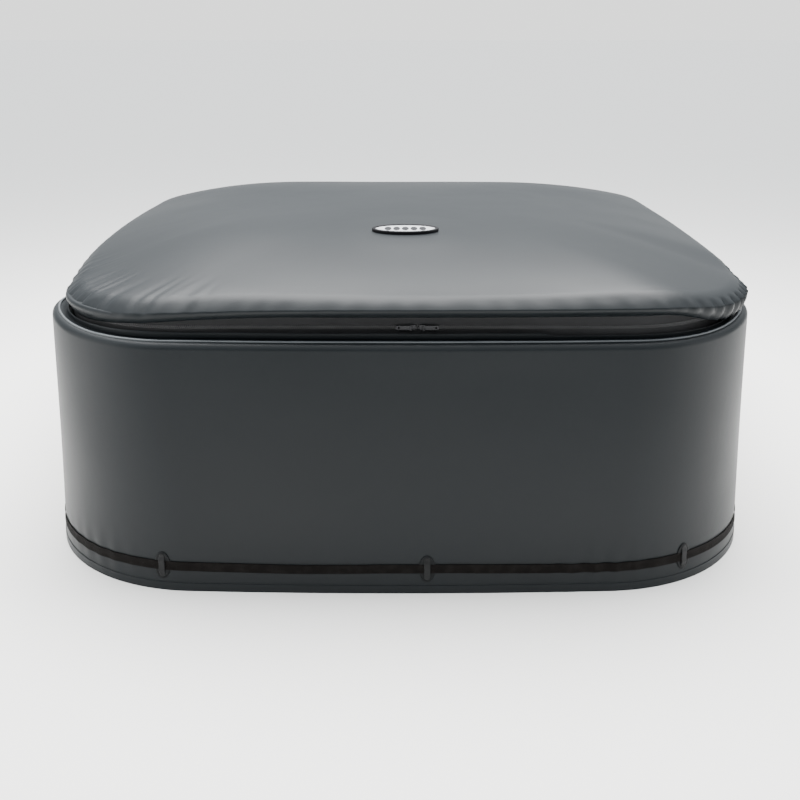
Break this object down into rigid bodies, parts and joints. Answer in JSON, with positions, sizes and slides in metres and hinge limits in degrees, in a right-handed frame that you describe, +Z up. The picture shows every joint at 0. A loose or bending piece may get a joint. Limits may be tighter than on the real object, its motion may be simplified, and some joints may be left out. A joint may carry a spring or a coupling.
{
  "type": "spa cover",
  "caption": "Soft insulated wrap-around cover for a square inflatable spa, with a zipped puffed lid, looped belt and buckle.",
  "frame": {"origin": "centre of the open foot, on the floor", "axes": "+Z up, front towards -Y, the lid hinges along the rear edge at +Y"},
  "size_m": [2.1556, 2.1615, 0.917],
  "materials": {
    "pvc_laminate": "satin",
    "pvc_weld": "satin",
    "foam": "matt",
    "foil": "satin",
    "webbing": "matt",
    "black_plastic": "matt",
    "bladder_vinyl": "gloss",
    "badge_black": "gloss",
    "badge_silver": "satin",
    "zip_tape": "matt",
    "zip_teeth": "satin",
    "zip_metal": "satin"
  },
  "bodies": {
    "wall": {"side_wall_skin": "pvc_laminate", "wall_foam": "foam", "wall_lining": "foil", "shoulder_welt": "pvc_weld", "zip_guard": "pvc_laminate", "bottom_hem": "pvc_laminate", "wall_closing_strip": "pvc_laminate", "lower_zip_tape": "zip_tape", "lower_zip_teeth": "zip_teeth", "zip_end_stops": "black_plastic", "rear_hinge_band": "pvc_laminate", "belt_webbing": "webbing", "belt_loop_patches": "pvc_laminate", "belt_loop_bridges": "black_plastic", "buckle_socket": "black_plastic"},
    "lid": {"lid_top_skin": "pvc_laminate", "lid_side_band": "pvc_laminate", "lid_seam": "pvc_weld", "lid_foam": "foam", "lid_lining": "foil", "bladder": "bladder_vinyl", "bladder_baffles": "bladder_vinyl", "bladder_valve": "bladder_vinyl", "valve_collar": "black_plastic", "pocket_zip_tape": "zip_tape", "pocket_zip_teeth": "zip_teeth", "badge_rim": "badge_black", "badge_face": "badge_silver", "upper_zip_teeth": "zip_teeth", "upper_zip_tape": "zip_tape"},
    "left_zip_slider": {"left_zip_slider": "zip_metal"},
    "left_zip_pull": {"left_zip_pull": "zip_metal"},
    "right_zip_slider": {"right_zip_slider": "zip_metal"},
    "right_zip_pull": {"right_zip_pull": "zip_metal"},
    "pocket_zip_slider": {"pocket_zip_slider": "zip_metal"},
    "pocket_zip_pull": {"pocket_zip_pull": "zip_metal"},
    "valve_cap": {"valve_cap": "bladder_vinyl"},
    "buckle_plug": {"buckle_plug": "black_plastic"},
    "strap_keeper": {"strap_keeper": "black_plastic"}
  },
  "joints": [
    {"name": "lid_hinge", "type": "hinge", "parent": "wall", "child": "lid", "pos_m": [0, 0.972, 0.7623], "axis": [-1, 0, 0], "range_deg": [0, 95]},
    {"name": "left_zip_slide", "type": "slide", "parent": "wall", "child": "left_zip_slider", "axis": [-1, 0, 0], "range_m": [0, 0.58]},
    {"name": "left_pull_swing", "type": "hinge", "parent": "left_zip_slider", "child": "left_zip_pull", "pos_m": [0.029, -0.966, 0.73365], "axis": [0, 0, 1], "range_deg": [0, 150]},
    {"name": "right_zip_slide", "type": "slide", "parent": "wall", "child": "right_zip_slider", "axis": [1, 0, 0], "range_m": [0, 0.5]},
    {"name": "right_pull_swing", "type": "hinge", "parent": "right_zip_slider", "child": "right_zip_pull", "pos_m": [0.063, -0.966, 0.73365], "axis": [0, 0, -1], "range_deg": [0, 150]},
    {"name": "pocket_zip_slide", "type": "slide", "parent": "lid", "child": "pocket_zip_slider", "axis": [1, 0, 0], "range_m": [0, 0.85]},
    {"name": "pocket_pull_swing", "type": "hinge", "parent": "pocket_zip_slider", "child": "pocket_zip_pull", "pos_m": [-0.426, -0.8, 0.7528], "axis": [0, 1, 0], "range_deg": [0, 150]},
    {"name": "valve_cap_swing", "type": "hinge", "parent": "lid", "child": "valve_cap", "pos_m": [0.6002, -0.56, 0.7565], "axis": [0, 1, 0], "range_deg": [0, 120]},
    {"name": "buckle_release", "type": "slide", "parent": "wall", "child": "buckle_plug", "axis": [0.9995, 0.0328, 0], "range_m": [0, 0.036]},
    {"name": "keeper_slide", "type": "slide", "parent": "wall", "child": "strap_keeper", "axis": [0.9997, 0.0232, 0], "range_m": [0, 0.06]}
  ]
}
